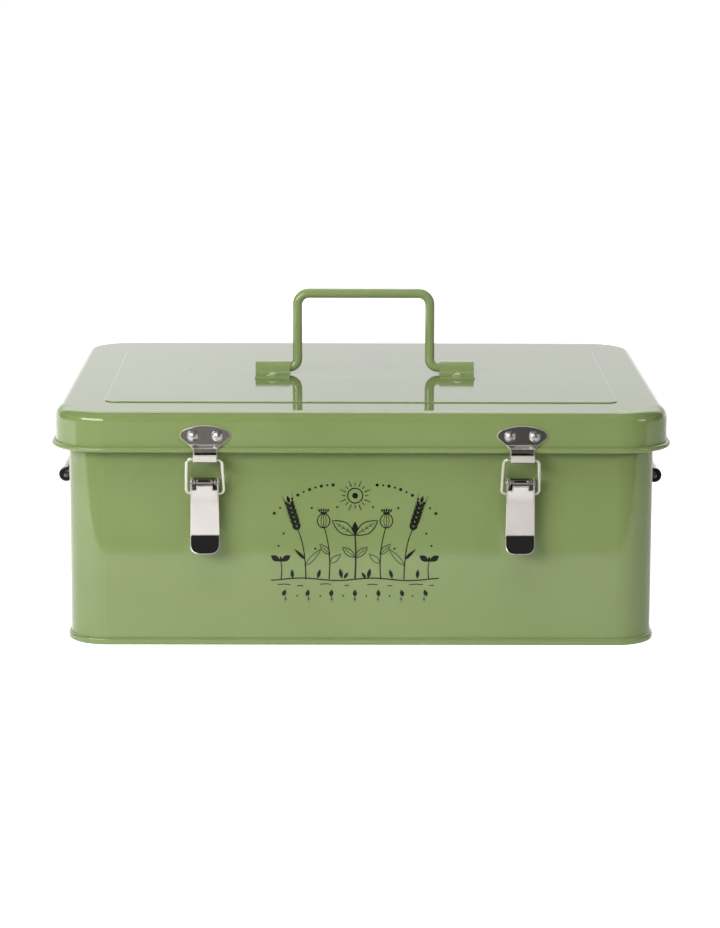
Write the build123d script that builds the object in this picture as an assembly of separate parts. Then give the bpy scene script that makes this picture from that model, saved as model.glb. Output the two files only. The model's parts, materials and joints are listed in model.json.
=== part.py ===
# Garden seed organizer box: a rounded rectangular sheet-steel box with a hinged
# lift lid, a folding lid handle, two drop side handles, two draw latches and an
# inner divider grid.  Millimetres, +Z up, front of the box towards -Y.
# The origin is at the centre of the bottom.
import math
import os

from build123d import *

os.makedirs("parts", exist_ok=True)

# ---------------------------------------------------------------- dimensions
SHEET = 0.6              # box and lid sheet
DIV_T = 0.5              # divider sheet
HARD_T = 0.8             # clips and latch plates

BODY_HX = 167.4          # body wall, outer half width
BODY_HY = 129.6          # body wall, outer half depth
BODY_R = 21.6            # body corner radius, outer
RIM_R = 2.2              # outer radius of the rolled rim
RIM_Z = 133.65           # centre height of the rolled rim
SEAM_O = 1.6             # how far the bottom seam stands proud of the wall
SEAM_H = 4.2             # height of the bottom seam
SEAM_RAD = 1.4           # rounding of the seam's outer edges

LID_GAP = 7.6            # lid skirt's outer face, out from the body wall
LID_HX = BODY_HX + LID_GAP
LID_HY = BODY_HY + LID_GAP
LID_R = BODY_R + LID_GAP
LID_TOP = 136.5          # lid top surface
LID_EDGE_R = 6.2         # rounding of the lid's top edge
BEAD_R = 1.5             # rolled bead along the lid's lower edge
BEAD_Z = 114.9
PANEL_HX = 147.5         # raised panel on the lid
PANEL_HY = 104.3
PANEL_R = 7.0
PANEL_UP = 0.6
PANEL_Z = LID_TOP + PANEL_UP

DIV_Z1 = 96.0            # top of the dividers
DIV_X = (-83.3, 0.0, 83.3)
DIV_Y = (-42.9, 42.9)
DIV_GAP = 0.5            # divider end to wall
SLOT_W = 0.7

HANDLE_X = 1.9           # centre of the lid handle
HANDLE_ROD_R = 2.9
HANDLE_HALF = 40.0       # rod axis to handle centre
HANDLE_AXIS_Z = PANEL_Z + 4.05
HANDLE_TOP_Z = 186.2     # rod axis of the grip bar
HANDLE_TOP_R = 7.0
HANDLE_FOOT_R = 5.0
CLIP_X = 2.6             # centre between the lid clips: the handle has side play
CLIP_IN = 45.15          # lid clips, from their centre
CLIP_OUT = 66.05
CLIP_T = 1.1
CLIP_HALF_Y = 20.2
CLIP_RIVET_Y = 16.3

KEEP_X = (-88.2, 90.75)
LATCH_X = (-88.6, 90.1)
P_O, P_Z = 7.0, 96.5     # lever pivot, out from the wall and height
Q_O, Q_Z = 4.6, 89.7     # where the wire bail hangs on the lever
H_O, H_Z = 12.2, 110.65  # the bail's bar in the hook
WIRE_R = 1.1             # latch bail wire
PIN_R = 1.1
KEEP_IN = 10.05          # keeper's inner face where it passes the bead
HOOK_LIP_O = 14.75       # inner face of the hook's lip
HOOK_LIP_Z = 113.3
HOOK_FLARE = 0.7         # how far the lip's top edge leans out
HOOK_FLOOR_Z = 109.5
BARREL_R = 2.35
LEVER_O = 9.5            # back of the lever's plate at its top
LEVER_TILT = 2.25        # how much nearer the wall the plate is at its bend
LEVER_TOP_Z, BEND_Z = 94.7, 65.8

HINGE_X = (-89.0, 89.0)
HINGE_O, HINGE_Z = 12.9, 114.9
KNUCKLE_R = 2.6
HINGE_HALF = 20.0

SIDE_O, SIDE_Z = 1.9, 106.0   # pivot of the side handles
SIDE_WIRE_R = 1.5
SIDE_LEG_Y = 45.5
GRIP_O, GRIP_Z = 8.1, 82.6
GRIP_R = 4.35
GRIP_HALF = 42.0
SCLIP_Y0, SCLIP_Y1 = 26.0, 41.0

RUN = 0.06               # radial running clearance


# ------------------------------------------------------------------- helpers
def poly(*pts):
    return make_face(Polyline(*pts, close=True))


def box3(x0, x1, y0, y1, z0, z1):
    return Pos((x0 + x1) / 2, (y0 + y1) / 2, (z0 + z1) / 2) * Box(
        x1 - x0, y1 - y0, z1 - z0
    )


def slab(hx, hy, r, z0, z1):
    """A plate with rounded corners, from z0 to z1."""
    return Pos(0, 0, z0) * extrude(RectangleRounded(2 * hx, 2 * hy, r), z1 - z0)


def solid_of(shape, what):
    """The one solid that a piece has to be."""
    s = shape.solids()
    if len(s) != 1:
        raise ValueError(f"{what}: {len(s)} solids")
    return s[0]


def ring(section, hx, hy, r):
    """Carries a section drawn in (out, z) around a rounded rectangle."""
    def ex(y_len):
        return extrude(Plane.XZ * section, y_len / 2, both=True)

    lx, ly = 2 * (hx - r), 2 * (hy - r)
    out = Pos(hx, 0, 0) * ex(ly)
    out += Pos(-hx, 0, 0) * Rot(0, 0, 180) * ex(ly)
    out += Pos(0, hy, 0) * Rot(0, 0, 90) * ex(lx)
    out += Pos(0, -hy, 0) * Rot(0, 0, -90) * ex(lx)
    corner = revolve(Plane.XZ * Pos(r, 0) * section, Axis.Z, 90)
    for k, (sx, sy) in enumerate(((1, 1), (-1, 1), (-1, -1), (1, -1))):
        out += Pos(sx * (hx - r), sy * (hy - r), 0) * Rot(0, 0, 90 * k) * corner
    return out


def bent_wire(points, radii):
    """A tangent path of lines and arcs through the points."""
    pts = [Vector(*p) for p in points]
    edges, last = [], pts[0]
    for i in range(1, len(pts) - 1):
        a, b, c = pts[i - 1], pts[i], pts[i + 1]
        u, v = (a - b).normalized(), (c - b).normalized()
        half = math.acos(max(-1, min(1, u.dot(v)))) / 2
        t = radii[i - 1] / math.tan(half)
        p0, p1 = b + u * t, b + v * t
        mid_dir = (u + v).normalized()
        centre = b + mid_dir * (radii[i - 1] / math.sin(half))
        mid = centre - mid_dir * radii[i - 1]
        edges.append(Line(last, p0))
        edges.append(ThreePointArc(p0, mid, p1))
        last = p1
    edges.append(Line(last, pts[-1]))
    return Wire([e.edge() if hasattr(e, "edge") else e for e in edges])


def rod(points, radii, r):
    path = bent_wire(points, radii)
    start = Plane(origin=path @ 0, z_dir=path % 0)
    return sweep(start * Circle(r), path=path)


def along_x(section, x0, x1):
    """Extrudes a section drawn in (out, z) along X, on the front wall."""
    # local x is outwards (-Y), local y is up
    s = Plane(origin=(x1, -BODY_HY, 0), x_dir=(0, -1, 0), z_dir=(-1, 0, 0)) * section
    return extrude(s, x1 - x0)


def back_x(section, x0, x1):
    """The same on the back wall, where outwards is +Y."""
    s = Plane(origin=(x0, BODY_HY, 0), x_dir=(0, 1, 0), z_dir=(1, 0, 0)) * section
    return extrude(s, x1 - x0)


def front_cyl(x0, x1, o, z, r):
    return Pos((x0 + x1) / 2, -(BODY_HY + o), z) * Rot(0, 90, 0) * Cylinder(r, x1 - x0)


def back_cyl(x0, x1, o, z, r):
    return Pos((x0 + x1) / 2, BODY_HY + o, z) * Rot(0, 90, 0) * Cylinder(r, x1 - x0)


def rivet(head_r, head_h, shank_r, grip, tail_r, tail_h):
    """Domed rivet on +Z; its head sits on z = 0."""
    big = (head_r ** 2 + head_h ** 2) / (2 * head_h)
    a = math.asin(head_r / big) / 2
    mid = (big * math.sin(a), head_h - big * (1 - math.cos(a)))
    outline = [
        Line((0, -grip - tail_h), (tail_r, -grip - tail_h)),
        Line((tail_r, -grip - tail_h), (tail_r, -grip)),
        Line((tail_r, -grip), (shank_r, -grip)),
        Line((shank_r, -grip), (shank_r, 0)),
        Line((shank_r, 0), (head_r, 0)),
        ThreePointArc((head_r, 0), mid, (0, head_h)),
        Line((0, head_h), (0, -grip - tail_h)),
    ]
    face = make_face(outline)
    return revolve(Plane.XZ * face, Axis.Z, 360)


def facing(x, y, z, direction):
    """Places +Z of a rivet or drill at a point, along a direction."""
    return Plane(origin=(x, y, z), z_dir=direction).location


def drill(x, y, z, direction, r, depth):
    """A drilled hole from 5 mm outside the point to depth inside it."""
    return facing(x, y, z, direction) * Pos(0, 0, (5 - depth) / 2) * Cylinder(
        r, depth + 5
    )


FRONT, BACK, UP = (0, -1, 0), (0, 1, 0), (0, 0, 1)
parts = {}

# -------------------------------------------------------------- rivet places
RIV = 1.5                # rivet shank radius
base_rivets = [(x, -(BODY_HY + HARD_T), z) for x in LATCH_X for z in (70.0, 82.0)]
keeper_rivets = [
    (x + dx, -(LID_HY + HARD_T), 123.0) for x in KEEP_X for dx in (-6.95, 6.95)
]
clip_x = [CLIP_X + s * (CLIP_IN + CLIP_OUT) / 2 for s in (-1, 1)]
clip_rivets = [
    (x, y, PANEL_Z + CLIP_T) for x in clip_x for y in (-CLIP_RIVET_Y, CLIP_RIVET_Y)
]
side_rivets = [
    (s * (BODY_HX + HARD_T), t * (SCLIP_Y0 + SCLIP_Y1) / 2, SIDE_Z + dz)
    for s in (-1, 1) for t in (-1, 1) for dz in (-6.0, 6.0)
]
hinge_body_rivets = [(x + dx, BODY_HY + 1.0, 95.0) for x in HINGE_X for dx in (-12, 12)]
hinge_lid_rivets = [(x + dx, LID_HY + 1.0, 125.0) for x in HINGE_X for dx in (-13, 13)]


def side_dir(x):
    return (1, 0, 0) if x > 0 else (-1, 0, 0)


# ------------------------------------------------------------------ box body
# wall: one wrapped sheet with its rim rolled outwards over an open curl
curl = Pos(-SHEET + RIM_R, RIM_Z) * (Circle(RIM_R) - Circle(RIM_R - SHEET))
cx = -SHEET + RIM_R
wedge = poly(
    (cx, RIM_Z),
    (cx - 4, RIM_Z),
    (cx + 4 * math.cos(math.radians(211)), RIM_Z + 4 * math.sin(math.radians(211))),
    (cx + 4 * math.cos(math.radians(242)), RIM_Z + 4 * math.sin(math.radians(242))),
)
wall_section = (curl - wedge) + poly(
    (-SHEET, SHEET), (0, SHEET), (0, RIM_Z), (-SHEET, RIM_Z)
)
body_wall = ring(wall_section, BODY_HX, BODY_HY, BODY_R)
# the wrap's lock seam, up the middle of the back
body_wall += box3(-3.2, 3.2, BODY_HY - 0.4, BODY_HY + 0.7, SEAM_H + 0.3, 130.6)
for x, y, z in base_rivets:
    body_wall -= drill(x, y, z, FRONT, RIV, 4)
for x, y, z in hinge_body_rivets:
    body_wall -= drill(x, y, z, BACK, RIV, 4)
for x, y, z in side_rivets:
    body_wall -= drill(x, y, z, side_dir(x), RIV, 4)
parts["body_wall"] = solid_of(body_wall, "body_wall")

# bottom: a recessed panel whose edge is folded round the wall's lower edge
seam = poly(
    (-2 * SHEET, 0), (SEAM_O, 0), (SEAM_O, SEAM_H), (0, SEAM_H), (0, SHEET),
    (-SHEET, SHEET), (-SHEET, SEAM_H), (-2 * SHEET, SEAM_H),
)
outer_corners = [v for v in seam.vertices() if abs(v.X - SEAM_O) < 1e-6]
seam = fillet(outer_corners, SEAM_RAD)
bottom_panel = ring(seam, BODY_HX, BODY_HY, BODY_R)
inset = 2 * SHEET - 0.2
bottom_panel += slab(BODY_HX - inset, BODY_HY - inset, BODY_R - inset, SEAM_H - SHEET, SEAM_H)
parts["bottom_panel"] = solid_of(bottom_panel, "bottom_panel")

# --------------------------------------------------------------- divider grid
half_slot = (DIV_Z1 - SEAM_H) / 2
ix, iy = BODY_HX - SHEET - DIV_GAP, BODY_HY - SHEET - DIV_GAP


def divider_outline(half):
    w = poly((-half, SEAM_H), (half, SEAM_H), (half, DIV_Z1), (-half, DIV_Z1))
    return fillet([v for v in w.vertices() if abs(v.Y - DIV_Z1) < 1e-6], 6.0)


for name, y in zip(("divider_long_front", "divider_long_rear"), DIV_Y):
    d = extrude(Plane.XZ * divider_outline(ix), DIV_T / 2, both=True)
    for x in DIV_X:
        d -= box3(x - SLOT_W / 2, x + SLOT_W / 2, -2, 2, SEAM_H + half_slot, DIV_Z1 + 1)
    parts[name] = solid_of(Pos(0, y, 0) * d, name)
for name, x in zip(("divider_cross_left", "divider_cross_middle", "divider_cross_right"), DIV_X):
    d = extrude(Plane.YZ * divider_outline(iy), DIV_T / 2, both=True)
    for y in DIV_Y:
        d -= box3(-2, 2, y - SLOT_W / 2, y + SLOT_W / 2, SEAM_H - 1, SEAM_H + half_slot)
    parts[name] = solid_of(Pos(x, 0, 0) * d, name)

# ------------------------------------------------------------------ lid shell
shell = slab(LID_HX, LID_HY, LID_R, BEAD_Z, LID_TOP)
shell = fillet(shell.edges().filter_by(lambda e: e.center().Z > LID_TOP - 0.01), LID_EDGE_R)
cavity = slab(LID_HX - SHEET, LID_HY - SHEET, LID_R - SHEET, BEAD_Z - 1, LID_TOP - SHEET)
cavity = fillet(
    cavity.edges().filter_by(lambda e: e.center().Z > LID_TOP - SHEET - 0.01),
    LID_EDGE_R - SHEET,
)
lid = shell - cavity
# raised panel, pressed up from the top with rounded steps
up = slab(PANEL_HX, PANEL_HY, PANEL_R, LID_TOP - SHEET / 2, PANEL_Z)
up = fillet(up.edges().filter_by(lambda e: e.center().Z > PANEL_Z - 0.01), 0.45)
hollow = slab(
    PANEL_HX - 1.0, PANEL_HY - 1.0, PANEL_R - 1.0, LID_TOP - SHEET - 1, PANEL_Z - SHEET
)
lid = lid + up - hollow
# rolled bead along the lower edge, curling outwards
bc = -SHEET + BEAD_R
bead = Pos(bc, BEAD_Z) * (Circle(BEAD_R) - Circle(BEAD_R - SHEET))
bead_slot = poly(
    (bc, BEAD_Z),
    (bc + 3 * math.cos(math.radians(179)), BEAD_Z + 3 * math.sin(math.radians(179))),
    (bc + 3 * math.cos(math.radians(150)), BEAD_Z + 3 * math.sin(math.radians(150))),
    (bc + 3 * math.cos(math.radians(124)), BEAD_Z + 3 * math.sin(math.radians(124))),
)
bead = (bead - bead_slot) + poly(
    (-SHEET, BEAD_Z), (0, BEAD_Z), (0, BEAD_Z + 2), (-SHEET, BEAD_Z + 2)
)
lid += ring(bead, LID_HX, LID_HY, LID_R)
for x, y, z in keeper_rivets:
    lid -= drill(x, y, z, FRONT, RIV, 4)
for x, y, z in hinge_lid_rivets:
    lid -= drill(x, y, z, BACK, RIV, 4)
for x, y, z in clip_rivets:
    lid -= drill(x, y, z, UP, RIV, 4)
parts["lid_shell"] = solid_of(lid, "lid_shell")

# ------------------------------------------------- lid handle and its clips
w = HANDLE_HALF
parts["lid_handle"] = solid_of(
    rod(
        [
            (HANDLE_X - CLIP_OUT + 2.0, 0, HANDLE_AXIS_Z),
            (HANDLE_X - w, 0, HANDLE_AXIS_Z),
            (HANDLE_X - w, 0, HANDLE_TOP_Z),
            (HANDLE_X + w, 0, HANDLE_TOP_Z),
            (HANDLE_X + w, 0, HANDLE_AXIS_Z),
            (HANDLE_X + CLIP_OUT - 0.6, 0, HANDLE_AXIS_Z),
        ],
        [HANDLE_FOOT_R, HANDLE_TOP_R, HANDLE_TOP_R, HANDLE_FOOT_R],
        HANDLE_ROD_R,
    ),
    "lid_handle",
)


def saddle(pivot, in_r, t, half_len, toe_r):
    """Section of a saddle clip: local x along the flanges, local y out."""
    s = poly((-half_len, 0), (half_len, 0), (half_len, t), (-half_len, t))
    s += Pos(0, pivot) * Circle(in_r + t)
    s += poly((-in_r - t, 0), (in_r + t, 0), (in_r + t, pivot), (-in_r - t, pivot))
    s -= Pos(0, pivot) * Circle(in_r)
    s -= poly((-in_r, -1), (in_r, -1), (in_r, pivot), (-in_r, pivot))
    keep = poly((-half_len - 1, 0), (half_len + 1, 0), (half_len + 1, 20), (-half_len - 1, 20))
    s = s & keep
    inner = [
        v for v in s.vertices()
        if abs(v.Y - t) < 1e-6 and abs(abs(v.X) - in_r - t) < 1e-6
    ]
    return fillet(inner, toe_r)


lid_saddle = saddle(HANDLE_AXIS_Z - PANEL_Z, HANDLE_ROD_R + RUN, CLIP_T, CLIP_HALF_Y, 1.2)
for name, x0, x1, cx_ in (
    ("lid_clip_left", CLIP_X - CLIP_OUT, CLIP_X - CLIP_IN, clip_x[0]),
    ("lid_clip_right", CLIP_X + CLIP_IN, CLIP_X + CLIP_OUT, clip_x[1]),
):
    s = Plane(origin=(x0, 0, PANEL_Z), x_dir=(0, 1, 0), z_dir=(1, 0, 0)) * lid_saddle
    clip = extrude(s, x1 - x0)
    for y in (-CLIP_RIVET_Y, CLIP_RIVET_Y):
        clip -= drill(cx_, y, PANEL_Z + CLIP_T, UP, RIV, 3)
    parts[name] = solid_of(clip, name)

stud = rivet(3.2, 1.9, RIV, CLIP_T + SHEET, 2.4, 0.9)
parts["lid_clip_rivets"] = Compound(
    children=[facing(x, y, z, UP) * solid_of(stud, "stud") for x, y, z in clip_rivets]
)

# --------------------------------------------------------------- side handles
side_saddle = saddle(SIDE_O, SIDE_WIRE_R + RUN, HARD_T, 8.5, 0.8)
for side, s in (("left", -1), ("right", 1)):
    for place, t in (("front", -1), ("rear", 1)):
        name = f"side_clip_{side}_{place}"
        y0, y1 = sorted((t * SCLIP_Y0, t * SCLIP_Y1))
        # local x is up the wall, local y is outwards
        base = Plane(
            origin=(s * BODY_HX, y1 if s < 0 else y0, SIDE_Z),
            x_dir=(0, 0, 1), z_dir=(0, -1, 0) if s < 0 else (0, 1, 0),
        )
        clip = extrude(base * side_saddle, y1 - y0)
        for x, y, z in side_rivets:
            if x * s > 0 and y * t > 0:
                clip -= drill(x, y, z, side_dir(x), RIV, 3)
        parts[name] = solid_of(clip, name)
    x_p, x_g = s * (BODY_HX + SIDE_O), s * (BODY_HX + GRIP_O)
    end = SCLIP_Y0 - 2.0
    parts[f"side_bail_{side}"] = solid_of(
        rod(
            [
                (x_p, -end, SIDE_Z),
                (x_p, -SIDE_LEG_Y, SIDE_Z),
                (x_p, -SIDE_LEG_Y, 89.0),
                (x_g, -SIDE_LEG_Y, GRIP_Z),
                (x_g, SIDE_LEG_Y, GRIP_Z),
                (x_p, SIDE_LEG_Y, 89.0),
                (x_p, SIDE_LEG_Y, SIDE_Z),
                (x_p, end, SIDE_Z),
            ],
            [2.6, 2.6, 2.6, 2.6, 2.6, 2.6],
            SIDE_WIRE_R,
        ),
        f"side_bail_{side}",
    )
    grip = Pos(x_g, 0, GRIP_Z) * Rot(90, 0, 0) * Cylinder(GRIP_R, 2 * GRIP_HALF)
    grip = fillet(grip.edges().filter_by(GeomType.CIRCLE), 0.7)
    grip -= Pos(x_g, 0, GRIP_Z) * Rot(90, 0, 0) * Cylinder(SIDE_WIRE_R + 0.05, 3 * GRIP_HALF)
    parts[f"side_grip_{side}"] = solid_of(grip, "grip")
stud = rivet(2.4, 1.2, RIV, HARD_T + SHEET, 2.2, 0.8)
parts["side_clip_rivets"] = Compound(
    children=[
        facing(x, y, z, side_dir(x)) * solid_of(stud, "stud") for x, y, z in side_rivets
    ]
)

# ------------------------------------------------------------------ latches
hook_out = poly(
    (KEEP_IN, HOOK_FLOOR_Z - HARD_T), (HOOK_LIP_O + HARD_T, HOOK_FLOOR_Z - HARD_T),
    (HOOK_LIP_O + HARD_T + HOOK_FLARE, HOOK_LIP_Z), (KEEP_IN, HOOK_LIP_Z),
)
hook_out = fillet([v for v in hook_out.vertices() if v.Y < HOOK_FLOOR_Z], 1.9)
hook_in = poly(
    (KEEP_IN + HARD_T, HOOK_FLOOR_Z), (HOOK_LIP_O, HOOK_FLOOR_Z),
    (HOOK_LIP_O + HOOK_FLARE * 12.8 / 3.8, HOOK_LIP_Z + 9), (KEEP_IN + HARD_T, HOOK_LIP_Z + 9),
)
hook_in = fillet([v for v in hook_in.vertices() if v.Y < HOOK_FLOOR_Z + 1], 1.1)
strap = poly(
    (LID_GAP, 129.6), (LID_GAP + HARD_T, 129.6), (LID_GAP + HARD_T, 117.85),
    (KEEP_IN + HARD_T, 116.25), (KEEP_IN + HARD_T, 111.8), (KEEP_IN, 111.8),
    (KEEP_IN, 115.8), (LID_GAP, 117.4),
)
keeper_section = (hook_out - hook_in) + strap
outline = [
    ThreePointArc((-10.9, 126.85), (0, 129.0), (10.9, 126.85)),
    ThreePointArc((10.9, 126.85), (13.4, 125.25), (14.2, 123.0)),
    ThreePointArc((14.2, 123.0), (13.95, 121.95), (13.25, 121.15)),
    Line((13.25, 121.15), (8.05, 116.8)),
    ThreePointArc((8.05, 116.8), (7.05, 115.75), (6.7, 114.4)),
    Line((6.7, 114.4), (6.7, 107.0)),
    Line((6.7, 107.0), (-6.7, 107.0)),
    Line((-6.7, 107.0), (-6.7, 114.4)),
    ThreePointArc((-6.7, 114.4), (-7.05, 115.75), (-8.05, 116.8)),
    Line((-8.05, 116.8), (-13.25, 121.15)),
    ThreePointArc((-13.25, 121.15), (-13.95, 121.95), (-14.2, 123.0)),
    ThreePointArc((-14.2, 123.0), (-13.4, 125.25), (-10.9, 126.85)),
]
keeper_outline = make_face(outline)

PLATE_W = 7.4
base_outline = Pos(0, (64.0 + 97.6) / 2) * RectangleRounded(2 * PLATE_W, 97.6 - 64.0, 2.4)
base_ear = poly((0.2, 91.5), (P_O, 94.5), (P_O, 98.5), (0.2, 96.6)) + Pos(
    P_O, P_Z
) * Circle(2.3)

BEND_O = LEVER_O - LEVER_TILT
lever_section = poly(
    (LEVER_O, LEVER_TOP_Z), (LEVER_O + 0.8, LEVER_TOP_Z), (BEND_O + 0.8, BEND_Z),
    (13.55, 55.95), (12.85, 55.55), (BEND_O, BEND_Z - 0.2),
)
lever_outline = poly(
    (-8.3, 50.0), (8.3, 50.0), (8.3, 62.0), (7.95, 86.0), (7.95, 95.0),
    (-7.95, 95.0), (-7.95, 86.0), (-8.3, 62.0),
)


def plate_o(z):
    """Back of the lever's plate at a height."""
    return LEVER_O - LEVER_TILT * (LEVER_TOP_Z - z) / (LEVER_TOP_Z - BEND_Z)


flange_section = make_hull(
    (Pos(P_O, P_Z) * Circle(2.6)).edges()
    + (Pos(Q_O, Q_Z) * Circle(2.3)).edges()
    + poly(
        (7.9, 86.0), (plate_o(86.0) + 0.4, 86.0),
        (plate_o(94.6) + 0.4, 94.6), (8.6, 94.6),
    ).edges()
) + poly(
    (plate_o(66.6) + 0.4, 66.6), (plate_o(92.0) + 0.4, 92.0), (6.6, 92.0), (6.0, 87.0),
    (plate_o(83.0) - 2.4, 83.0), (plate_o(69.0) - 2.1, 69.0),
)

# finger tip: rounded corners and a slightly bowed end
tip_outline = make_face(
    [
        Line((-8.3, 70.0), (-8.3, 60.4)),
        ThreePointArc((-8.3, 60.4), (-7.1, 57.5), (-4.2, 56.05)),
        ThreePointArc((-4.2, 56.05), (0, 55.6), (4.2, 56.05)),
        ThreePointArc((4.2, 56.05), (7.1, 57.5), (8.3, 60.4)),
        Line((8.3, 60.4), (8.3, 70.0)),
        Line((8.3, 70.0), (-8.3, 70.0)),
    ]
)

for side, kx, x in zip(("left", "right"), KEEP_X, LATCH_X):
    # keeper: eye-shaped plate on the lid, joggled over the bead into a hook
    k = along_x(keeper_section, kx - 15, kx + 15) & extrude(
        Plane(origin=(kx, -BODY_HY - 5, 0), x_dir=(1, 0, 0), z_dir=(0, -1, 0))
        * keeper_outline,
        20,
    )
    for rx, ry, rz in keeper_rivets:
        if abs(rx - kx) < 20:
            k -= drill(rx, ry, rz, FRONT, RIV, 1.2)
    parts[f"latch_keeper_{side}"] = solid_of(k, "keeper")

    # base: plate on the wall with two ears for the pivot pin
    b = extrude(
        Plane(origin=(x, -BODY_HY, 0), x_dir=(1, 0, 0), z_dir=(0, -1, 0)) * base_outline,
        HARD_T,
    )
    for e in (-6.3, 5.5):
        b += along_x(base_ear, x + e, x + e + 0.8)
    b -= front_cyl(x - 20, x + 20, P_O, P_Z, PIN_R)
    for rx, ry, rz in base_rivets:
        if abs(rx - x) < 20:
            b -= drill(rx, ry, rz, FRONT, RIV, 3)
    parts[f"latch_base_{side}"] = solid_of(b, "latch base")

    # pivot pin with its two rounded ends, and the barrel between the ears
    pin = front_cyl(x - 8.2, x + 8.2, P_O, P_Z, PIN_R)
    for e in (-1, 1):
        head = front_cyl(x + e * 8.45 - 0.3, x + e * 8.45 + 0.3, P_O, P_Z, 1.75)
        head = fillet(
            head.edges().filter_by(GeomType.CIRCLE).sort_by(Axis.X)[-1 if e > 0 else 0], 0.45
        )
        pin += head
    parts[f"latch_pin_{side}"] = solid_of(pin, "latch pin")
    barrel = front_cyl(x - 4.5, x + 4.5, P_O, P_Z, BARREL_R) - front_cyl(
        x - 6, x + 6, P_O, P_Z, PIN_R
    )
    barrel -= front_cyl(x - 3.9, x + 3.9, P_O, P_Z, 3.5) - front_cyl(
        x - 5, x + 5, P_O, P_Z, BARREL_R - 0.15
    )
    parts[f"latch_barrel_{side}"] = solid_of(barrel, "latch barrel")

    # lever: channel with two flanges that turn on the pin and carry the bail
    lever = along_x(lever_section, x - 10, x + 10) & extrude(
        Plane(origin=(x, -BODY_HY, 0), x_dir=(1, 0, 0), z_dir=(0, -1, 0)) * lever_outline,
        25,
    )
    # rounded finger tip
    tip_cut = extrude(
        Plane(origin=(x, -BODY_HY, 0), x_dir=(1, 0, 0), z_dir=(0, -1, 0))
        * (
            poly((-10, 48), (10, 48), (10, 60.5), (-10, 60.5))
            - tip_outline
        ),
        25,
    )
    lever -= tip_cut
    for e in (-1, 1):
        x0, x1 = sorted((x + e * 7.15, x + e * 7.95))
        lever += along_x(flange_section, x0, x1)
        n0, n1 = sorted((x + e * 4.6, x + e * 7.15))
        lever -= along_x(
            poly((LEVER_O - 0.9, 92.2), (LEVER_O + 1.5, 92.2), (LEVER_O + 1.5, 96), (LEVER_O - 0.9, 96)),
            n0, n1,
        )
    lever -= front_cyl(x - 20, x + 20, P_O, P_Z, PIN_R + RUN)
    lever -= front_cyl(x - 20, x + 20, Q_O, Q_Z, WIRE_R + RUN)
    parts[f"latch_lever_{side}"] = solid_of(lever, "latch lever")

    # bail: one bent wire whose ends meet behind the lever
    def q(u, v):
        length = math.hypot(H_O - Q_O, H_Z - Q_Z)
        return (
            x + u,
            -(BODY_HY + Q_O + (H_O - Q_O) * v / length),
            Q_Z + (H_Z - Q_Z) * v / length,
        )

    length = math.hypot(H_O - Q_O, H_Z - Q_Z)
    parts[f"latch_bail_{side}"] = solid_of(
        rod(
            [q(0.3, 0), q(10.6, 0), q(9.95, length), q(-9.95, length), q(-10.6, 0), q(-0.3, 0)],
            [2.3, 3.1, 3.1, 2.3],
            WIRE_R,
        ),
        "latch bail",
    )

stud = rivet(3.4, 1.9, RIV, HARD_T + SHEET, 2.4, 0.9)
parts["latch_keeper_rivets"] = Compound(
    children=[facing(x, y, z, FRONT) * solid_of(stud, "stud") for x, y, z in keeper_rivets]
)
stud = rivet(2.5, 1.2, RIV, HARD_T + SHEET, 2.2, 0.8)
parts["latch_base_rivets"] = Compound(
    children=[facing(x, y, z, FRONT) * solid_of(stud, "stud") for x, y, z in base_rivets]
)

# ------------------------------------------------------------------- hinges
ARM_TOP = HINGE_Z - 2.9
body_leaf = poly(
    (0, 84.0), (1.0, 84.0), (1.0, ARM_TOP - 1.2), (HINGE_O + 3.9, ARM_TOP - 1.2),
    (HINGE_O + 3.9, ARM_TOP), (0, ARM_TOP),
)
pedestal = poly(
    (HINGE_O - 1.6, ARM_TOP - 0.6), (HINGE_O + 1.6, ARM_TOP - 0.6),
    (HINGE_O + 1.6, HINGE_Z), (HINGE_O - 1.6, HINGE_Z),
) + Pos(HINGE_O, HINGE_Z) * Circle(KNUCKLE_R)
lid_arm = poly(
    (LID_GAP, 118.4), (LID_GAP, 117.7), (11.3, 116.5), (HINGE_O, HINGE_Z),
    (HINGE_O, HINGE_Z + KNUCKLE_R), (LID_GAP + 1.0, 118.9), (LID_GAP, 118.9),
) + Pos(HINGE_O, HINGE_Z) * Circle(KNUCKLE_R)
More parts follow.
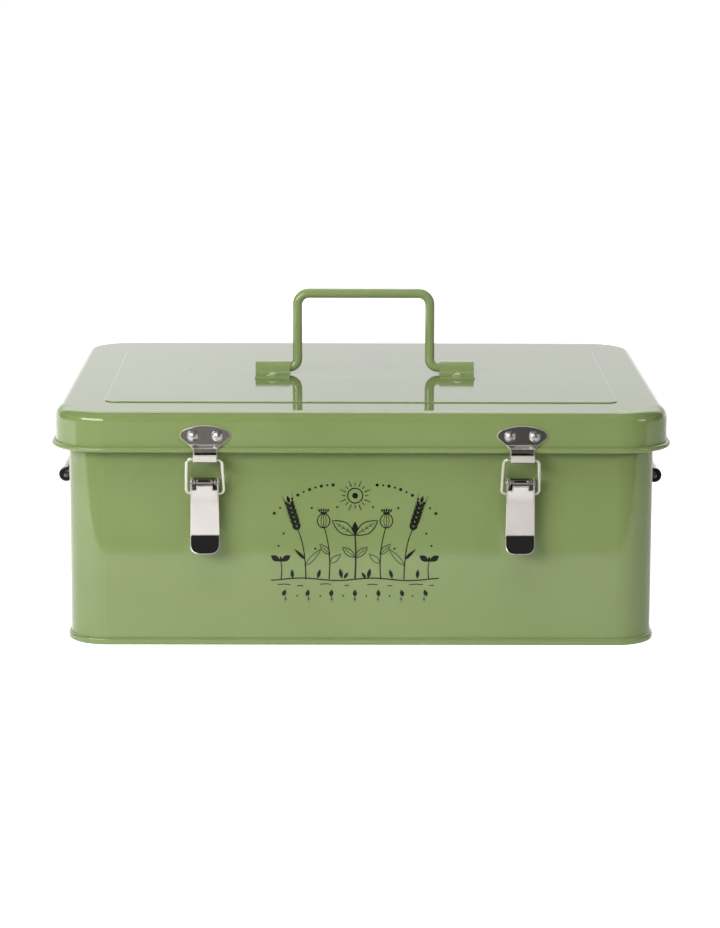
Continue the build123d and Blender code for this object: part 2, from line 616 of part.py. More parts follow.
# a heel on the lid's knuckle lands on the body leaf and stops the lid
OPEN_DEG = 110.0
heel_a = math.radians(-33.0 + OPEN_DEG)
ux, uz = math.cos(heel_a), math.sin(heel_a)
heel = poly(
    (HINGE_O - 0.6 * uz, HINGE_Z + 0.6 * ux),
    (HINGE_O + 4.2 * ux - 0.6 * uz, HINGE_Z + 4.2 * uz + 0.6 * ux),
    (HINGE_O + 4.2 * ux + 0.6 * uz, HINGE_Z + 4.2 * uz - 0.6 * ux),
    (HINGE_O + 0.6 * uz, HINGE_Z - 0.6 * ux),
)
for side, x in zip(("left", "right"), HINGE_X):
    leaf = back_x(body_leaf, x - HINGE_HALF, x + HINGE_HALF)
    for x0, x1 in ((-HINGE_HALF, -10.3), (10.3, HINGE_HALF)):
        leaf += back_x(pedestal, x + x0, x + x1)
    leaf -= back_cyl(x - 30, x + 30, HINGE_O, HINGE_Z, PIN_R)
    for rx, ry, rz in hinge_body_rivets:
        if abs(rx - x) < 25:
            leaf -= drill(rx, ry, rz, BACK, RIV, 3)
    parts[f"hinge_leaf_body_{side}"] = solid_of(leaf, "body leaf")

    plate = poly(
        (LID_GAP, 118.2), (LID_GAP + 1.0, 118.2), (LID_GAP + 1.0, 129.8), (LID_GAP, 129.8)
    )
    leaf = back_x(plate, x - HINGE_HALF, x + HINGE_HALF)
    leaf += back_x(lid_arm, x - 10.0, x + 10.0)
    leaf += back_x(heel, x - 6.0, x + 6.0)
    leaf -= back_cyl(x - 30, x + 30, HINGE_O, HINGE_Z, PIN_R + RUN)
    for rx, ry, rz in hinge_lid_rivets:
        if abs(rx - x) < 25:
            leaf -= drill(rx, ry, rz, BACK, RIV, 1.5)
    parts[f"hinge_leaf_lid_{side}"] = solid_of(leaf, "lid leaf")

    pin = back_cyl(x - 20.3, x + 20.3, HINGE_O, HINGE_Z, PIN_R)
    for e in (-1, 1):
        pin += back_cyl(x + e * 20.3 - 0.3, x + e * 20.3 + 0.3, HINGE_O, HINGE_Z, 1.8)
    parts[f"hinge_pin_{side}"] = solid_of(pin, "hinge pin")

stud = rivet(2.6, 1.3, RIV, 1.0 + SHEET, 2.2, 0.8)
parts["hinge_body_rivets"] = Compound(
    children=[facing(x, y, z, BACK) * solid_of(stud, "stud") for x, y, z in hinge_body_rivets]
)
parts["hinge_lid_rivets"] = Compound(
    children=[facing(x, y, z, BACK) * solid_of(stud, "stud") for x, y, z in hinge_lid_rivets]
)

for name, shape in parts.items():
    export_step(shape, f"parts/{name}.step")
    b = shape.bounding_box()
    print(
        f"{name:26s} {len(shape.solids())} solids  "
        f"x {b.min.X:8.2f} {b.max.X:8.2f}  y {b.min.Y:8.2f} {b.max.Y:8.2f}  "
        f"z {b.min.Z:7.2f} {b.max.Z:7.2f}  {shape.volume / 1000:8.3f} cm3"
    )
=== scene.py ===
import json
import math

import bpy
from mathutils import Matrix, Vector


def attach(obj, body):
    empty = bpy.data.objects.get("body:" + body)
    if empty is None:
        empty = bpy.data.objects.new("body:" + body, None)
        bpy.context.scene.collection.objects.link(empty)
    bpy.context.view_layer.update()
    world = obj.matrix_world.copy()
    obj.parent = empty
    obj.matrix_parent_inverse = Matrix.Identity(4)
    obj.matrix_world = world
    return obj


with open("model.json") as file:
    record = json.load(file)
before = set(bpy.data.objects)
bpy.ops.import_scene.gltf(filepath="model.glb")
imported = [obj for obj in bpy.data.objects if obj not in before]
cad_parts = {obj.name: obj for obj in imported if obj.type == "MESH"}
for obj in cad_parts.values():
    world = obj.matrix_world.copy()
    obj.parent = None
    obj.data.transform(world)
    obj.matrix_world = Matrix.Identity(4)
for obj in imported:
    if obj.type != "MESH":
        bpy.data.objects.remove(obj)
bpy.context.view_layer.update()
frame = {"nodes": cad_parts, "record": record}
NODES = frame["nodes"]
scene = bpy.context.scene
scene.view_settings.view_transform = "Standard"
scene.view_settings.look = "None"

BODY_HY = 0.1296
BOARD_EDGE = -0.366
# strengths of the lights and of the lit papers
LIGHT = dict(
    key=7.3, fill=4.3, top=2.4, rear=2.5, glow=1.5, ceiling=0.17,
    floor=0.06, shine=0.61, shine_left=0.5, shine_right=-0.3, shine_back=0.3,
    sweep=0.12, sweep_shine=1.05, board=0.16, board_right=0.047, world=0.03, seen=0.97,
)


# ----------------------------------------------------------------- node helper
class Mat:
    """A small builder for node materials."""

    def __init__(self, name):
        self.mat = bpy.data.materials.new(name)
        self.mat.use_nodes = True
        self.nt = self.mat.node_tree
        self.bsdf = self.nt.nodes["Principled BSDF"]
        self.coord = self.nt.nodes.new("ShaderNodeTexCoord").outputs["Object"]

    def node(self, kind, **props):
        n = self.nt.nodes.new(kind)
        for k, v in props.items():
            setattr(n, k, v)
        return n

    def put(self, socket, value):
        if isinstance(value, bpy.types.NodeSocket):
            self.nt.links.new(value, socket)
        else:
            socket.default_value = value

    def scaled(self, sx, sy, sz):
        m = self.node("ShaderNodeMapping")
        self.put(m.inputs["Vector"], self.coord)
        m.inputs["Scale"].default_value = (sx, sy, sz)
        return m.outputs["Vector"]

    def noise(self, scale, detail=2.0, rough=0.5, vector=None, distortion=0.0):
        n = self.node("ShaderNodeTexNoise")
        self.put(n.inputs["Vector"], vector or self.coord)
        n.inputs["Scale"].default_value = scale
        n.inputs["Detail"].default_value = detail
        n.inputs["Roughness"].default_value = rough
        n.inputs["Distortion"].default_value = distortion
        return n.outputs["Fac"]

    def voronoi(self, scale, feature="F1", vector=None):
        n = self.node("ShaderNodeTexVoronoi", feature=feature)
        self.put(n.inputs["Vector"], vector or self.coord)
        n.inputs["Scale"].default_value = scale
        return n.outputs["Distance"]

    def ramp(self, fac, stops):
        n = self.node("ShaderNodeValToRGB")
        self.put(n.inputs["Fac"], fac)
        el = n.color_ramp.elements
        while len(el) < len(stops):
            el.new(0.5)
        for e, (p, c) in zip(el, stops):
            e.position = p
            e.color = (*c, 1.0) if len(c) == 3 else c
        return n.outputs["Color"]

    def span(self, fac, a, b, c, d):
        n = self.node("ShaderNodeMapRange")
        self.put(n.inputs["Value"], fac)
        for k, v in (("From Min", a), ("From Max", b), ("To Min", c), ("To Max", d)):
            n.inputs[k].default_value = v
        return n.outputs["Result"]

    def math(self, op, a, b=0.0, clamp=False):
        n = self.node("ShaderNodeMath", operation=op, use_clamp=clamp)
        self.put(n.inputs[0], a)
        self.put(n.inputs[1], b)
        return n.outputs[0]

    def mix(self, fac, a, b):
        n = self.node("ShaderNodeMix", data_type="RGBA")
        self.put(n.inputs["Factor"], fac)
        self.put(n.inputs["A"], a if isinstance(a, bpy.types.NodeSocket) else (*a, 1.0))
        self.put(n.inputs["B"], b if isinstance(b, bpy.types.NodeSocket) else (*b, 1.0))
        return n.outputs["Result"]

    def bump(self, height, strength, distance, normal=None):
        n = self.node("ShaderNodeBump")
        n.inputs["Strength"].default_value = strength
        n.inputs["Distance"].default_value = distance
        self.put(n.inputs["Height"], height)
        if normal is not None:
            self.put(n.inputs["Normal"], normal)
        return n.outputs["Normal"]

    def base(self, **inputs):
        for k, v in inputs.items():
            self.put(self.bsdf.inputs[k.replace("_", " ")], v)


def lin(r, g, b):
    """sRGB 0-255 to linear."""
    out = []
    for c in (r, g, b):
        c /= 255
        out.append(c / 12.92 if c <= 0.04045 else ((c + 0.055) / 1.055) ** 2.4)
    return tuple(out)


# ------------------------------------------------------------------- materials
def green_enamel(name="green_enamel", lift=(1.0, 1.0, 1.0)):
    m = Mat(name)
    cloud = m.noise(9.0, 3.0, 0.55)
    fine = m.noise(900.0, 2.0, 0.5)
    peel = m.noise(240.0, 2.0, 0.5)
    sag = m.noise(14.0, 1.0, 0.4)
    # lift scales these tones; the handle and clips get a lifted copy, which is painted light on the same paint
    deep, mid, light = (
        tuple(c * k for c, k in zip(tone, lift))
        for tone in ((0.262, 0.352, 0.116), (0.275, 0.368, 0.124), (0.290, 0.386, 0.134))
    )
    colour = m.ramp(cloud, [(0.30, deep), (0.50, mid), (0.72, light)])
    speck = m.span(fine, 0.70, 0.80, 0.0, 0.10)
    colour = m.mix(speck, colour, (0.17, 0.24, 0.07))
    # the coat thins and wears a little lighter on edges
    edge = m.node("ShaderNodeNewGeometry").outputs["Pointiness"]
    edge_wear_and_highlight = m.math(
        "MULTIPLY",
        m.span(edge, 0.53, 0.62, 0.0, 0.30),
        m.span(cloud, 0.35, 0.65, 0.4, 1.0),
        clamp=True,
    )
    colour = m.mix(edge_wear_and_highlight, colour, (0.34, 0.43, 0.19))
    smear = m.noise(5.0, 4.0, 0.6, vector=m.scaled(1.0, 1.0, 3.0))
    m.base(Base_Color=colour, Roughness=m.span(smear, 0.30, 0.75, 0.055, 0.095), IOR=1.6)
    n = m.bump(peel, 0.012, 0.0003)
    n = m.bump(sag, 0.004, 0.003, n)
    m.put(m.bsdf.inputs["Normal"], n)
    return m.mat


def nickel(name, tint=(0.72, 0.70, 0.67), rough=(0.05, 0.13), wave=0.05, edge_wear_and_highlight=1.0):
    m = Mat(name)
    brush = m.noise(60.0, 3.0, 0.6, vector=m.scaled(14.0, 1.0, 1.0))
    spots = m.noise(420.0, 2.0, 0.5)
    haze = m.noise(70.0, 3.0, 0.6)
    colour = m.ramp(haze, [(0.3, tuple(c * 0.93 for c in tint)), (0.7, tint)])
    colour = m.mix(m.span(spots, 0.66, 0.74, 0.0, 0.25), colour, tuple(c * 0.6 for c in tint))
    r = m.span(brush, 0.3, 0.7, *rough)
    # the stamped edges are softly broken (a bevelled normal), and a painted highlight runs along them: lighter
    # cream colour, less metallic and rougher there
    soft = m.node("ShaderNodeBevel", samples=6)
    soft.inputs["Radius"].default_value = 0.0009
    m.base(Metallic=1.0)
    if edge_wear_and_highlight:
        flat = m.node("ShaderNodeNewGeometry").outputs["True Normal"]
        turn = m.node("ShaderNodeVectorMath", operation="DOT_PRODUCT")
        m.put(turn.inputs[0], soft.outputs["Normal"])
        m.put(turn.inputs[1], flat)
        rim_highlight = m.span(turn.outputs["Value"], 0.99, 0.90, 0.0, edge_wear_and_highlight)
        colour = m.mix(rim_highlight, colour, (0.93, 0.92, 0.81))
        r = m.math("ADD", r, m.math("MULTIPLY", rim_highlight, 0.30))
        m.base(Metallic=m.span(rim_highlight, 0.0, 1.0, 1.0, 0.20))
    m.base(Base_Color=colour, Roughness=r)
    n = m.bump(brush, 0.4 * wave, 0.0002, soft.outputs["Normal"])
    n = m.bump(haze, wave, 0.0006, n)
    m.put(m.bsdf.inputs["Normal"], n)
    return m.mat


def black_gloss(name, rough=0.09):
    m = Mat(name)
    grain = m.noise(300.0, 2.0, 0.5)
    cloud = m.noise(40.0, 3.0, 0.5)
    colour = m.ramp(cloud, [(0.3, lin(14, 14, 13)), (0.7, lin(24, 24, 22))])
    m.base(Base_Color=colour, Roughness=m.span(cloud, 0.3, 0.7, rough, rough + 0.08))
    m.put(m.bsdf.inputs["Normal"], m.bump(grain, 0.08, 0.0003))
    m.put(m.bsdf.inputs["Coat Weight"], 0.5)
    return m.mat


def ink():
    m = Mat("print_ink")
    fleck = m.noise(1500.0, 3.0, 0.6)
    cloud = m.noise(160.0, 3.0, 0.5)
    colour = m.ramp(cloud, [(0.3, lin(12, 17, 8)), (0.7, lin(20, 26, 13))])
    colour = m.mix(m.span(fleck, 0.66, 0.76, 0.0, 0.4), colour, lin(56, 68, 34))
    m.base(Base_Color=colour, Roughness=m.span(cloud, 0.3, 0.7, 0.22, 0.36))
    m.put(m.bsdf.inputs["Normal"], m.bump(fleck, 0.10, 0.0001))
    m.put(m.bsdf.inputs["Specular IOR Level"], 0.35)
    return m.mat


GREEN = green_enamel()
# the same green enamel made lighter and bluer for the handle, clips and their rivets: painted light, as if they
# were more lit
GREEN_LIT_HARDWARE = green_enamel("green_enamel_lit_hardware", (1.23, 1.18, 1.42))
NICKEL = nickel("nickel_plate", (0.63, 0.60, 0.56))
# a darker copy of the same nickel for the latch barrel, base and pin: painted shade
NICKEL_SHADE = nickel("nickel_shade", (0.36, 0.34, 0.31), (0.05, 0.12), 0.05, 0.22)
LEVER_NICKEL = nickel("nickel_lever", (0.67, 0.63, 0.60), (0.05, 0.09), 0.03)
RIVET_SATIN = nickel("satin_rivet", (0.66, 0.65, 0.63), (0.32, 0.42), 0.08, 0.0)
WIRE_SATIN = nickel("satin_wire", (0.66, 0.66, 0.56), (0.24, 0.34), 0.05, 0.0)
ZINC = nickel("zinc_steel", (0.60, 0.60, 0.58), (0.22, 0.40))
BLACK_WIRE = black_gloss("black_wire_paint", 0.14)
BLACK_GRIP = black_gloss("black_grip_gloss", 0.06)
INK = ink()

for name, o in NODES.items():
    slot = next(
        s["material_slot"] for s in frame["record"]["subparts"] if s["node"] == name
    )
    mat = {
        "green_paint": GREEN,
        "nickel": NICKEL,
        "zinc_steel": ZINC,
        "black_paint": BLACK_WIRE,
        "black_grip": BLACK_GRIP,
    }[slot]
    # handle and clips take the lifted copy of the enamel (painted light)
    if slot == "green_paint" and ("clip" in name or "handle" in name):
        mat = GREEN_LIT_HARDWARE
    if slot == "nickel":
        if "rivets" in name:
            mat = RIVET_SATIN
        elif "bail" in name:
            mat = WIRE_SATIN
        elif "lever" in name:
            mat = LEVER_NICKEL
        # barrel, base and pin take the darker nickel copy, painted shade
        elif "keeper" not in name:
            mat = NICKEL_SHADE
    if not o.material_slots:
        o.data.materials.append(mat)
    for s in o.material_slots:
        s.material = mat

# ---------------------------------------------------------------------- camera
F_PX, PITCH, YAW, ROLL = 3090.56, 0.185, 0.006, 0.003
cam_data = bpy.data.cameras.new("camera")
cam_data.lens = F_PX / 928 * 36
cam_data.sensor_width = 36
cam_data.sensor_fit = "AUTO"
cam_data.shift_x = -(361.217 - 360.0) / 928
cam_data.clip_start, cam_data.clip_end = 0.05, 50
cam = bpy.data.objects.new("camera", cam_data)
scene.collection.objects.link(cam)
fwd = Vector(
    (math.sin(YAW) * math.cos(PITCH), math.cos(YAW) * math.cos(PITCH), -math.sin(PITCH))
)
rgt = Vector((math.cos(YAW), -math.sin(YAW), 0.0))
upv = rgt.cross(fwd)
rgt2 = rgt * math.cos(ROLL) + upv * math.sin(ROLL)
up2 = upv * math.cos(ROLL) - rgt * math.sin(ROLL)
rot = Matrix((rgt2, up2, -fwd)).transposed().to_4x4()
cam.matrix_world = Matrix.Translation((-0.010435, -1.853332, 0.428109)) @ rot
scene.camera = cam


# ---------------------------------------------------------------------- print
def mesh_object(name, verts, faces, mat, smooth=False):
    me = bpy.data.meshes.new(name)
    me.from_pydata(verts, [], faces)
    me.update()
    o = bpy.data.objects.new(name, me)
    scene.collection.objects.link(o)
    if mat:
        me.materials.append(mat)
    for p in me.polygons:
        p.use_smooth = smooth
    return o


class Print:
    """Thin ink shapes on the flat front wall, in millimetres from the print's centre."""

    def __init__(self, cx, cz):
        self.cx, self.cz = cx, cz
        self.verts, self.faces, self.lift = [], [], 0

    def fill(self, pts):
        # closed outline, anticlockwise seen from the front
        area = sum(
            p[0] * q[1] - q[0] * p[1] for p, q in zip(pts, pts[1:] + pts[:1])
        )
        if area < 0:
            pts = pts[::-1]
        n, base = len(pts), len(self.verts)
        self.lift = (self.lift + 1) % 9
        top = -BODY_HY - 0.00005 - 0.000002 * self.lift
        for y in (top, -BODY_HY + 0.00005):
            for u, v in pts:
                self.verts.append(((self.cx + u) / 1000, y, (self.cz + v) / 1000))
        self.faces.append(tuple(base + i for i in range(n)))
        self.faces.append(tuple(base + n + i for i in reversed(range(n))))
        for i in range(n):
            j = (i + 1) % n
            self.faces.append((base + j, base + i, base + n + i, base + n + j))

    def stroke(self, pts, w0, w1=None):
        """A pen line that may taper, as one quad strip per segment."""
        w1 = w0 if w1 is None else w1
        n = len(pts)
        left, right = [], []
        for i, (u, v) in enumerate(pts):
            a, b = pts[max(i - 1, 0)], pts[min(i + 1, n - 1)]
            du, dv = b[0] - a[0], b[1] - a[1]
            length = math.hypot(du, dv) or 1.0
            w = (w0 + (w1 - w0) * i / (n - 1)) / 2
            left.append((u - dv / length * w, v + du / length * w))
            right.append((u + dv / length * w, v - du / length * w))
        for i in range(n - 1):
            self.fill([left[i], right[i], right[i + 1], left[i + 1]])

    def loop(self, pts, w):
        n = len(pts)
        inner, outer = [], []
        for i, (u, v) in enumerate(pts):
            a, b = pts[i - 1], pts[(i + 1) % n]
            du, dv = b[0] - a[0], b[1] - a[1]
            length = math.hypot(du, dv) or 1.0
            inner.append((u - dv / length * w / 2, v + du / length * w / 2))
            outer.append((u + dv / length * w / 2, v - du / length * w / 2))
        for i in range(n):
            j = (i + 1) % n
            self.fill([inner[i], outer[i], outer[j], inner[j]])

    def dot(self, u, v, r, n=14):
        self.fill(
            [
                (u + r * math.cos(2 * math.pi * i / n), v + r * math.sin(2 * math.pi * i / n))
                for i in range(n)
            ]
        )


def curve(p, q, r, n=12):
    """A bent line from p to r, drawn towards q."""
    out = []
    for i in range(n + 1):
        t = i / n
        out.append(
            tuple((1 - t) ** 2 * a + 2 * t * (1 - t) * b + t * t * c for a, b, c in zip(p, q, r))
        )
    return out


def blade(u, v, angle, length, width, belly=0.42, n=9):
    """The outline of a pointed leaf that starts at u, v."""
    a = math.radians(angle)
    upper, lower = [], []
    for i in range(1, n):
        t = i / n
        half = width / 2 * math.sin(math.pi * t ** (math.log(0.5) / math.log(belly)))
        upper.append((t * length, half))
        lower.append((t * length, -half))
    pts = [(0, 0)] + lower + [(length, 0)] + upper[::-1]
    return [
        (u + x * math.cos(a) - y * math.sin(a), v + x * math.sin(a) + y * math.cos(a))
        for x, y in pts
    ]


def along(u, v, angle, d):
    a = math.radians(angle)
    return u + d * math.cos(a), v + d * math.sin(a)


def front_print():
    """A planted row: sprout, seed heads and ears above the soil, seeds under it."""
    p = Print(-3.5, 60.0)
    soil = [(u, -21.5 + 0.7 * math.sin(u / 6.5)) for u in range(-48, 49, 2)]
    p.stroke(soil, 0.7)
    for u0, u1, v in (
        (-44, -37, -24.6), (-33, -29.5, -25.4), (-20, -13.5, -24.4), (-6, -3.2, -25.2),
        (7.0, 13.0, -24.6), (18.5, 21.5, -25.4), (31.0, 39.0, -24.5), (42.5, 45.0, -25.2),
    ):
        p.stroke([(u0, v), ((u0 + u1) / 2, v + 0.25), (u1, v)], 0.5)
    # seeds under the soil, each with fine roots
    for k in range(-3, 4):
        u = 13.2 * k
        p.fill(blade(u, -27.4, -90 + 7 * k, 4.3, 2.5, 0.56))
        for a in (-118, -90, -64):
            x, y = along(u, -31.5, -90, 0)
            e = along(x, y, a, 3.4 if a == -90 else 2.4)
            p.stroke(curve((x, y), (x + (e[0] - x) * 0.2, e[1]), e, 6), 0.34, 0.18)
        if k < 3:
            p.dot(u + 6.6, -31.2, 0.5)
    for sgn in (-1, 1):
        # ear of grain, leaning outwards
        stem = curve((sgn * 28.0, -21.5), (sgn * 28.2, -2), (sgn * 32.5, 7.0), 12)
        p.stroke(stem, 0.7, 0.55)
        tilt = 90 - sgn * 17
        for i in range(6):
            cu, cv = along(sgn * 32.5, 7.0, tilt, 2.75 * i)
            for side in (-1, 1):
                p.fill(blade(cu, cv, tilt + side * 30, 4.6, 2.0, 0.5, 7))
                w = along(cu, cv, tilt + side * 27, 4.2)
                p.stroke([w, along(*w, tilt + side * 13, 4.6)], 0.30, 0.18)
        tip = along(sgn * 32.5, 7.0, tilt, 16.4)
        p.fill(blade(*tip, tilt, 4.6, 1.9, 0.5, 7))
        long_leaf = blade(sgn * 28.1, -13.5, 90 + sgn * 42, 13.5, 2.5, 0.4)
        p.loop(long_leaf, 0.42)
        p.fill(blade(sgn * 28.3, -10.0, 90 - sgn * 46, 9.0, 1.9, 0.4))
        # seed head with its crown
        stem = curve((sgn * 14.8, -21.5), (sgn * 13.2, -6), (sgn * 17.4, 8.4), 12)
        p.stroke(stem, 0.7, 0.55)
        cu, cv = sgn * 17.9, 12.6
        ring = [
            (cu + 3.5 * math.cos(t * math.pi / 12), cv + 4.1 * math.sin(t * math.pi / 12))
            for t in range(24)
        ]
        p.loop(ring, 0.62)
        for d in (-1.7, 0.0, 1.7):
            p.stroke(
                curve((cu + d * 0.25, cv - 3.9), (cu + d * 1.5, cv), (cu + d * 0.25, cv + 3.9), 8), 0.36
            )
        p.fill([(cu - 1.6, cv + 4.0), (cu + 1.6, cv + 4.0), (cu + 2.0, cv + 5.1), (cu - 2.0, cv + 5.1)])
        for k in range(-2, 3):
            p.fill(blade(cu + 0.95 * k, cv + 4.9, 90 - 16 * k, 2.5, 1.05, 0.5, 6))
        p.loop(blade(sgn * 14.2, -12.0, 90 + sgn * 50, 8.0, 3.0, 0.42), 0.42)
        p.loop(blade(sgn * 14.3, -7.0, 90 - sgn * 44, 8.6, 3.1, 0.42), 0.42)
        p.stroke([along(sgn * 14.3, -7.0, 90 - sgn * 44, 1.0), along(sgn * 14.3, -7.0, 90 - sgn * 44, 6.6)], 0.32)
        # small seedling at the end of the row
        p.stroke(curve((sgn * 42.2, -21.5), (sgn * 41.2, -15), (sgn * 42.4, -11.0), 8), 0.7, 0.5)
        p.fill(blade(sgn * 42.4, -11.2, 90 - 58, 6.6, 3.4, 0.55))
        p.fill(blade(sgn * 42.4, -11.2, 90 + 58, 6.6, 3.4, 0.55))
        p.fill(blade(sgn * 42.4, -11.2, 90, 3.2, 1.4, 0.5))
        p.fill(blade(sgn * 7.4, -21.2, 90 - sgn * 12, 6.2, 2.2, 0.5))
        p.fill(blade(sgn * 6.4, -21.2, 90 + sgn * 34, 4.6, 1.8, 0.5))
        p.fill(blade(sgn * 35.6, -21.2, 90 - sgn * 4, 5.6, 2.0, 0.5))
        p.fill(blade(sgn * 21.4, -21.2, 90 + sgn * 16, 5.8, 2.1, 0.5))
        # big seed leaf of the middle sprout, with its veins
        ang = 90 - sgn * 57
        p.loop(blade(0, 4.2, ang, 15.5, 6.6, 0.5, 12), 0.62)
        p.stroke([along(0, 4.2, ang, 0.6), along(0, 4.2, ang, 13.2)], 0.42, 0.25)
        for d in (4.4, 7.2, 10.0):
            for side in (-1, 1):
                b0 = along(0, 4.2, ang, d)
                p.stroke([b0, along(*b0, ang + side * 38, 2.5 - 0.08 * d)], 0.34, 0.22)
        p.loop(blade(0, -8.8, 90 - sgn * 50, 9.4, 3.6, 0.48), 0.5)
        p.stroke([along(0, -8.8, 90 - sgn * 50, 0.5), along(0, -8.8, 90 - sgn * 50, 7.4)], 0.34)
    p.stroke(curve((0, -21.5), (0.9, -8), (0, 4.2), 12), 0.95, 0.75)
    p.fill(blade(0, 4.0, 90, 8.2, 3.3, 0.5))
    # sun over the row, with dots fanning out
    ring = [
        (4.3 * math.cos(t * math.pi / 14), 27.2 + 4.3 * math.sin(t * math.pi / 14))
        for t in range(28)
    ]
    p.loop(ring, 0.66)
    p.dot(0, 27.2, 1.7, 18)
    for k in range(16):
        a = 360 / 16 * k
        r0, r1 = (5.7, 9.4) if k % 2 else (5.7, 7.7)
        p.stroke([along(0, 27.2, a, r0), along(0, 27.2, a, r1)], 0.62, 0.34)
    for k in range(11):
        for sgn in (-1, 1):
            t = k / 10
            p.dot(sgn * (12.5 + 33.5 * t), 33.4 - 16.5 * t * t, 0.62 if k % 2 else 0.92)
    for u, v in ((10.2, 20.6), (24.6, 20.0), (40.6, 5.2), (43.6, -2.0), (22.6, -3.6)):
        for sgn in (-1, 1):
            p.dot(sgn * u, v, 0.62)
    o = mesh_object("front_print", p.verts, p.faces, INK)
    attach(o, "box")
    return o


front_print()


# ---------------------------------------------------------------------- studio
def paper(name, light, colour=(1.0, 1.0, 1.0)):
    m = Mat(name)
    m.base(
        Base_Color=m.ramp(m.noise(3.0, 3.0), [(0.3, (0.87,) * 3), (0.7, (0.92,) * 3)]),
        Roughness=0.8,
        Emission_Color=(*colour, 1.0),
        Emission_Strength=light,
    )
    m.put(m.bsdf.inputs["Specular IOR Level"], 0.0)
    return m


def seen_by(o, camera=False, diffuse=False, glossy=False, shadow=False):
    o.visible_camera, o.visible_diffuse, o.visible_glossy = camera, diffuse, glossy
    o.visible_shadow, o.visible_transmission = shadow, False
    o.visible_volume_scatter = False


# the white studio that the camera sees: a floor that turns up into a dome all round
rings = [(0.4, 0.0), (1.2, 0.0), (3.0, 0.0), (5.0, 0.0)]
for k in range(1, 13):
    a = math.radians(90 * k / 12)
    rings.append((5.0 + 1.5 * math.sin(a), 1.5 - 1.5 * math.cos(a)))
rings += [(6.5, 5.0), (5.2, 7.5), (2.5, 9.0)]
SIDES = 48
verts = [(0.0, 0.0, 0.0)]
for r, z in rings:
    for i in range(SIDES):
        a = 2 * math.pi * i / SIDES
        verts.append((r * math.cos(a), r * math.sin(a), z))
verts.append((0.0, 0.0, 9.4))
faces = [(0, 1 + i, 1 + (i + 1) % SIDES) for i in range(SIDES)]
for k in range(len(rings) - 1):
    for i in range(SIDES):
        j = (i + 1) % SIDES
        a, b = 1 + k * SIDES, 1 + (k + 1) * SIDES
        faces.append((a + i, b + i, b + j, a + j))
last = 1 + (len(rings) - 1) * SIDES
faces += [(last + i, len(verts) - 1, last + (i + 1) % SIDES) for i in range(SIDES)]
seen = mesh_object("studio_floor", verts, faces, paper("paper_seen", LIGHT["seen"]).mat, True)
seen_by(seen, camera=True)


def paper_sheet(name, prof, mat, half=3.0):
    """A sheet as wide as the studio, along a profile of (y, z)."""
    verts = []
    for y, z in prof:
        verts += [(-half, y, z), (half, y, z)]
    faces = [(2 * i, 2 * i + 1, 2 * i + 3, 2 * i + 2) for i in range(len(prof) - 1)]
    return mesh_object(name, verts, faces, mat, True)


# white paper that lights the box: flat, then sweeping up behind
flat = [(-1.4, -0.0006), (1.5, -0.0006)]
up = [(1.5, -0.0006)]
for k in range(1, 17):
    a = math.radians(90 * k / 16)
    up.append((1.5 + 0.9 * math.sin(a), 0.9 - 0.9 * math.cos(a)))
up.append((2.4, 3.7))
TONE = (1.0, 0.985, 0.99)
floor = paper_sheet("studio_paper", flat, paper("paper_floor", LIGHT["floor"]).mat)
sweep = paper_sheet("studio_sweep", up, paper("paper_sweep", LIGHT["sweep"], TONE).mat)
for o in (floor, sweep):
    seen_by(o, diffuse=True, shadow=True)

# the same papers as they show in the box: brighter beside its left, darker to its right
m = paper("paper_floor_shine", 0.0)
xyz = m.node("ShaderNodeSeparateXYZ")
m.put(xyz.inputs[0], m.coord)


def eased(value, start, end):
    n = m.node("ShaderNodeMapRange", interpolation_type="SMOOTHSTEP")
    m.put(n.inputs["Value"], value)
    n.inputs["From Min"].default_value, n.inputs["From Max"].default_value = start, end
    return n.outputs["Result"]


glow_sum = m.math("MULTIPLY", eased(xyz.outputs["X"], -0.10, -0.26), LIGHT["shine_left"])
glow_sum = m.math(
    "ADD", glow_sum, m.math("MULTIPLY", eased(xyz.outputs["X"], -0.05, 0.20), LIGHT["shine_right"])
)
glow_sum = m.math(
    "ADD", glow_sum, m.math("MULTIPLY", eased(xyz.outputs["Y"], 0.15, 1.2), LIGHT["shine_back"])
)
m.base(Emission_Strength=m.math("ADD", glow_sum, LIGHT["shine"], clamp=False))
floor_shine = paper_sheet("studio_paper_shine", flat, m.mat)
# the sweep in the lid's top: a little brighter to the left and lower down
m = paper("paper_sweep_shine", 0.0, TONE)
for link in list(m.bsdf.inputs["Base Color"].links):
    m.nt.links.remove(link)
xyz = m.node("ShaderNodeSeparateXYZ")
m.put(xyz.inputs[0], m.coord)
m.base(
    Base_Color=(0.0, 0.0, 0.0, 1.0),
    Emission_Strength=m.math(
        "ADD",
        m.span(xyz.outputs["X"], -0.32, 0.02, LIGHT["sweep_shine"] + 0.09, LIGHT["sweep_shine"]),
        m.math(
            "ADD",
            m.span(xyz.outputs["Z"], 0.42, 0.58, 0.05, -0.03),
            m.span(xyz.outputs["Z"], 0.40, 0.28, 0.0, 0.40),
        ),
    ),
)
sweep_shine = paper_sheet("studio_sweep_shine", [(1.5, -0.0006), (2.25, 0.2), (2.4, 3.7)], m.mat)
for o in (floor_shine, sweep_shine):
    o.location.z = 0.0002
    seen_by(o, glossy=True)

# a bright panel high behind the box, that grows stronger upwards
m = paper("glow_panel", 0.0)
xyz = m.node("ShaderNodeSeparateXYZ")
m.put(xyz.inputs[0], m.coord)
m.base(
    Emission_Strength=m.math(
        "MULTIPLY", m.span(xyz.outputs["Z"], 0.9, 3.0, 1.0, 2.5), LIGHT["glow"]
    )
)
arc = [
    (2.05 * math.sin(math.radians(a)), 2.05 * math.cos(math.radians(a)))
    for a in range(-50, 51, 10)
]
verts = [(x, y, 0.9) for x, y in arc] + [(x * 0.35, y * 0.35, 3.0) for x, y in arc]
n = len(arc)
glow = mesh_object(
    "studio_glow", verts, [(i, i + 1, n + i + 1, n + i) for i in range(n - 1)], m.mat, True
)
seen_by(glow, glossy=True)

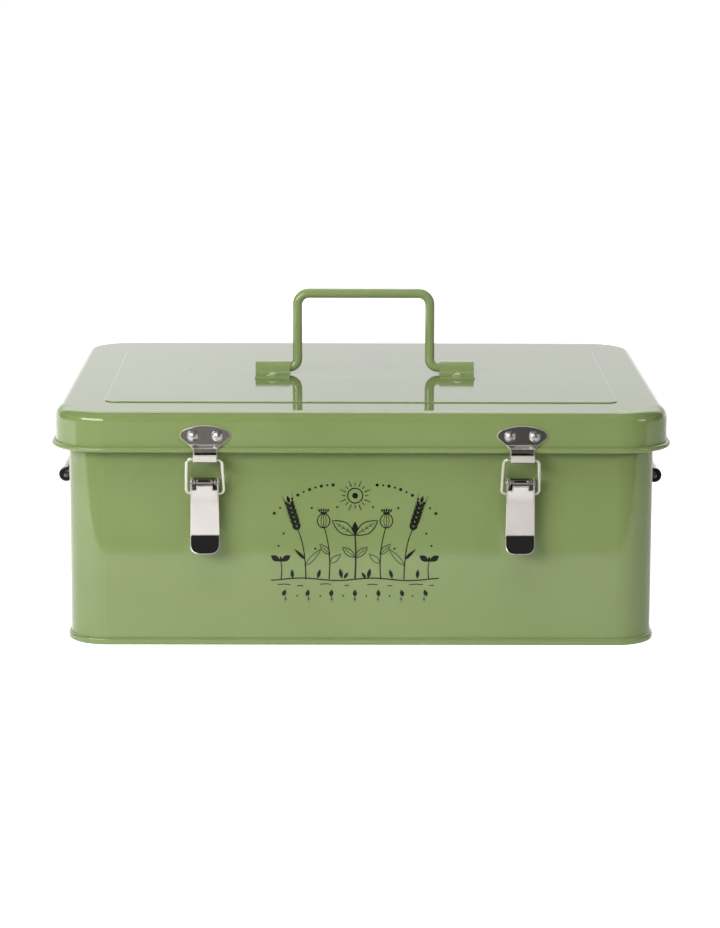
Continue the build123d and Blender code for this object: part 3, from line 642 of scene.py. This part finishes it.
# a dim ceiling over the front, for the rounded edges that face up
arc = [(1.9 * math.sin(math.radians(a)), math.radians(a)) for a in range(-60, 61, 12)]
verts = []
for el in (60, 68, 76, 84):
    e = math.radians(el)
    verts += [
        (2.2 * math.cos(e) * math.sin(a), -2.2 * math.cos(e) * math.cos(a), 2.2 * math.sin(e))
        for _, a in arc
    ]
n = len(arc)
ceiling = mesh_object(
    "studio_ceiling",
    verts,
    [(r * n + i, r * n + i + 1, r * n + n + i + 1, r * n + n + i) for r in range(3) for i in range(n - 1)],
    paper("ceiling", LIGHT["ceiling"]).mat,
    True,
)
seen_by(ceiling, glossy=True)

# a dark board on the floor in front of the paper, seen only in reflections
board_mat = Mat("dark_board")
xyz = board_mat.node("ShaderNodeSeparateXYZ")
board_mat.put(xyz.inputs[0], board_mat.coord)
board_mat.base(
    Base_Color=(0.03, 0.03, 0.03, 1.0),
    Roughness=1.0,
    Emission_Color=(1.0, 0.97, 0.93, 1.0),
    Emission_Strength=board_mat.span(
        xyz.outputs["X"], -0.10, 0.13, LIGHT["board"], LIGHT["board_right"]
    ),
)
board = mesh_object(
    "studio_board",
    [(-0.95, -3.2, 0.002), (3.0, -3.2, 0.002), (3.0, BOARD_EDGE, 0.002), (-0.95, BOARD_EDGE, 0.002)],
    [(0, 1, 2, 3)],
    board_mat.mat,
)
seen_by(board, glossy=True)
# two strips of paper on it, which show only in the levers
strips = []
for x0, x1 in ((-0.1110, -0.0890), (0.0935, 0.1165)):
    strips.append(
        mesh_object(
            "studio_strip",
            [(x0, -0.440, 0.0026), (x1, -0.440, 0.0026), (x1, BOARD_EDGE, 0.0026), (x0, BOARD_EDGE, 0.0026)],
            [(0, 1, 2, 3)],
            paper("paper_strip", LIGHT["shine"]).mat,
        )
    )
    seen_by(strips[-1], glossy=True)

world = bpy.data.worlds.new("studio")
scene.world = world
world.use_nodes = True
bg = world.node_tree.nodes["Background"]
bg.inputs["Color"].default_value = (1.0, 0.98, 0.96, 1.0)
bg.inputs["Strength"].default_value = LIGHT["world"]


def softbox(name, azimuth, elevation, distance, width, height, radiance, look=(0, -0.05, 0.08)):
    """A soft light seen from the box in a direction; azimuth 0 is the front."""
    az, el = math.radians(azimuth), math.radians(elevation)
    loc = Vector(look) + distance * Vector(
        (math.sin(az) * math.cos(el), -math.cos(az) * math.cos(el), math.sin(el))
    )
    d = bpy.data.lights.new(name, "AREA")
    d.shape = "RECTANGLE"
    d.size, d.size_y = width, height
    d.energy = radiance * math.pi * width * height
    o = bpy.data.objects.new(name, d)
    scene.collection.objects.link(o)
    o.location = loc
    o.rotation_euler = (Vector(look) - loc).to_track_quat("-Z", "Y").to_euler()
    return o


softbox("left_softbox", -36, 21, 1.3, 0.95, 0.42, LIGHT["key"])
softbox("right_softbox", 59, 15, 1.3, 0.36, 0.24, LIGHT["fill"])
top = softbox("top_softbox", -10, 64, 1.4, 1.1, 0.7, LIGHT["top"])
# two weak lights for the sides and the back
rear = [softbox("rear_softbox", a, 10, 1.6, 1.2, 0.5, LIGHT["rear"]) for a in (-143, 143)]
for o in (top, *rear):
    o.visible_glossy = False
